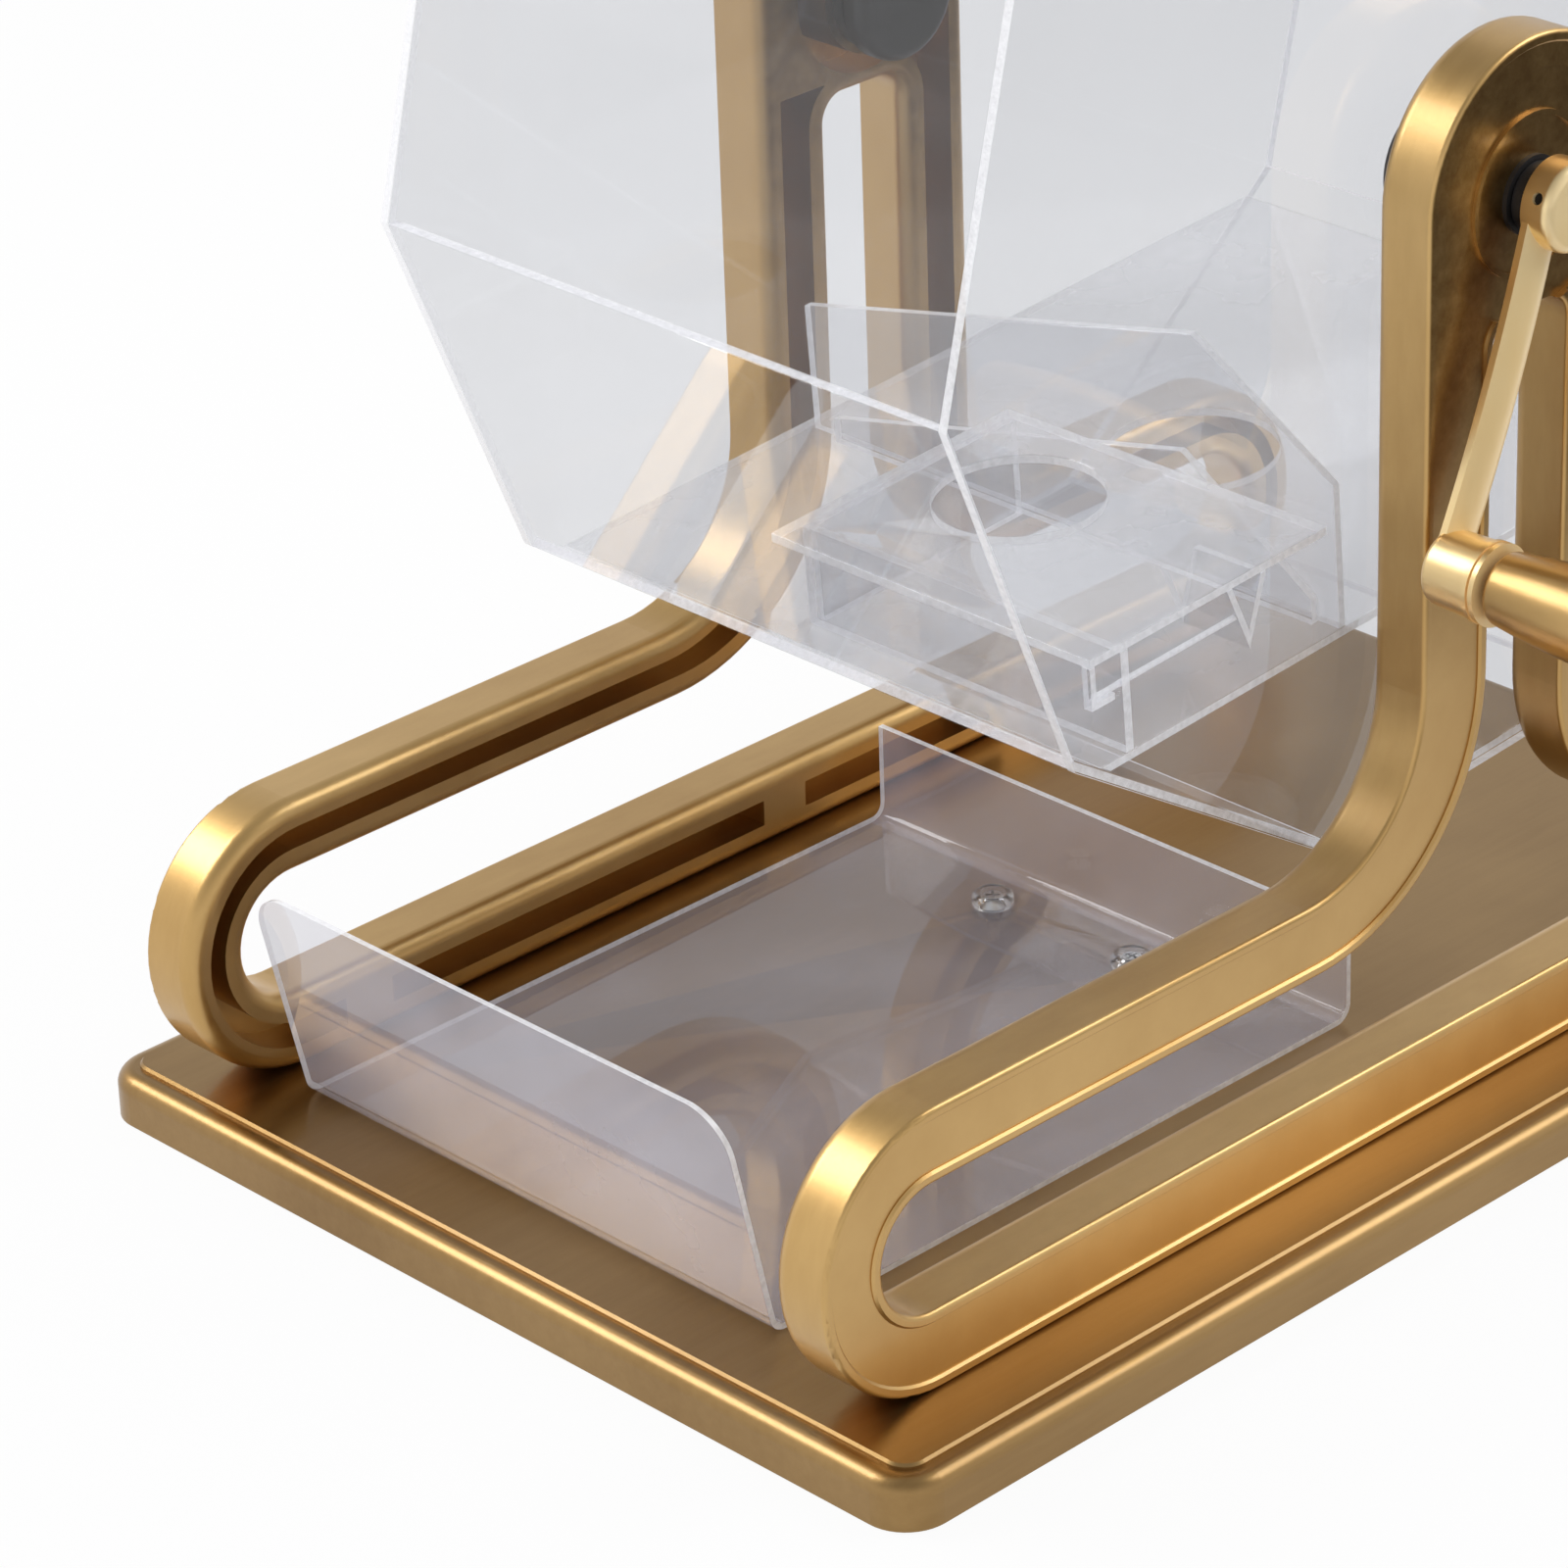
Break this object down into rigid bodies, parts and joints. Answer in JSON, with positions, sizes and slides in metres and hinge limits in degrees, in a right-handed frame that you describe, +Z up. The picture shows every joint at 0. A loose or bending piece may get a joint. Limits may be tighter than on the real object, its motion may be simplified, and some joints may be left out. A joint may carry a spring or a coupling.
{
  "type": "raffle drum with crank",
  "caption": "Clear ten-sided raffle drum on two moulded gold side frames over a base plate with a draw tray, turned by a side crank with a barrel grip.",
  "frame": {"origin": "centre of the base plate's underside", "axes": "+Z up, +X towards the crank, +Y to the rear, away from the tray's lip"},
  "size_m": [0.4185, 0.4802, 0.4811],
  "materials": {
    "satin_gold": "moulded plastic, satin antique gold paint, finely brushed",
    "gold_metal": "satin antique gold, smooth",
    "clear_acrylic": "clear, polished, milky edges",
    "black_plastic": "black, fine matt",
    "black_steel": "black oxide",
    "steel": "bright zinc"
  },
  "bodies": {
    "stand": {"base_plate": "satin_gold", "bush_left": "black_plastic", "bush_right": "black_plastic", "frame_left": "satin_gold", "frame_right": "satin_gold", "frame_screws": "steel", "tray": "clear_acrylic", "tray_caps": "clear_acrylic", "tray_screws": "steel"},
    "drum": {"axle_cap": "gold_metal", "axle_left": "steel", "axle_right": "steel", "axle_spacer_left": "black_plastic", "axle_spacer_right": "black_plastic", "crank_arm": "gold_metal", "end_plate_left": "clear_acrylic", "end_plate_right": "clear_acrylic", "flange_screws_left": "steel", "flange_screws_right": "steel", "grip_spindle": "steel", "hinge_fixed": "gold_metal", "hinge_pins": "steel", "inner_flange_left": "black_plastic", "inner_flange_right": "black_plastic", "latch_stud": "steel", "outer_flange_left": "black_plastic", "outer_flange_right": "black_plastic", "panel_0": "clear_acrylic", "panel_1": "clear_acrylic", "panel_2": "clear_acrylic", "panel_3": "clear_acrylic", "panel_4": "clear_acrylic", "panel_5": "clear_acrylic", "panel_6": "clear_acrylic", "panel_7": "clear_acrylic", "panel_8": "clear_acrylic", "panel_9": "clear_acrylic", "partition": "clear_acrylic", "set_screw": "black_steel", "trap_bracket": "clear_acrylic", "trap_front": "clear_acrylic", "trap_guard": "clear_acrylic", "trap_hook": "clear_acrylic", "trap_lid": "clear_acrylic", "trap_rod": "clear_acrylic", "trap_side": "clear_acrylic", "trap_wall": "clear_acrylic"},
    "hatch": {"hatch": "clear_acrylic", "hatch_knob": "gold_metal", "hinge_moving": "gold_metal"},
    "latch": {"latch": "gold_metal"},
    "grip": {"grip": "gold_metal"}
  },
  "joints": [
    {"name": "drum_spin", "type": "hinge", "parent": "stand", "child": "drum", "pos_m": [0, 0.0432, 0.287], "axis": [1, 0, 0], "continuous": true},
    {"name": "hatch_hinge", "type": "hinge", "parent": "drum", "child": "hatch", "pos_m": [0, -0.04587, 0.46643], "axis": [-1, 0, 0], "range_deg": [0, 110]},
    {"name": "latch_turn", "type": "hinge", "parent": "drum", "child": "latch", "pos_m": [0, -0.11991, 0.40313], "axis": [0, -0.6428, 0.766], "range_deg": [-90, 90]},
    {"name": "grip_spin", "type": "hinge", "parent": "drum", "child": "grip", "pos_m": [0, 0.00061, 0.19267], "axis": [1, 0, 0], "continuous": true}
  ]
}
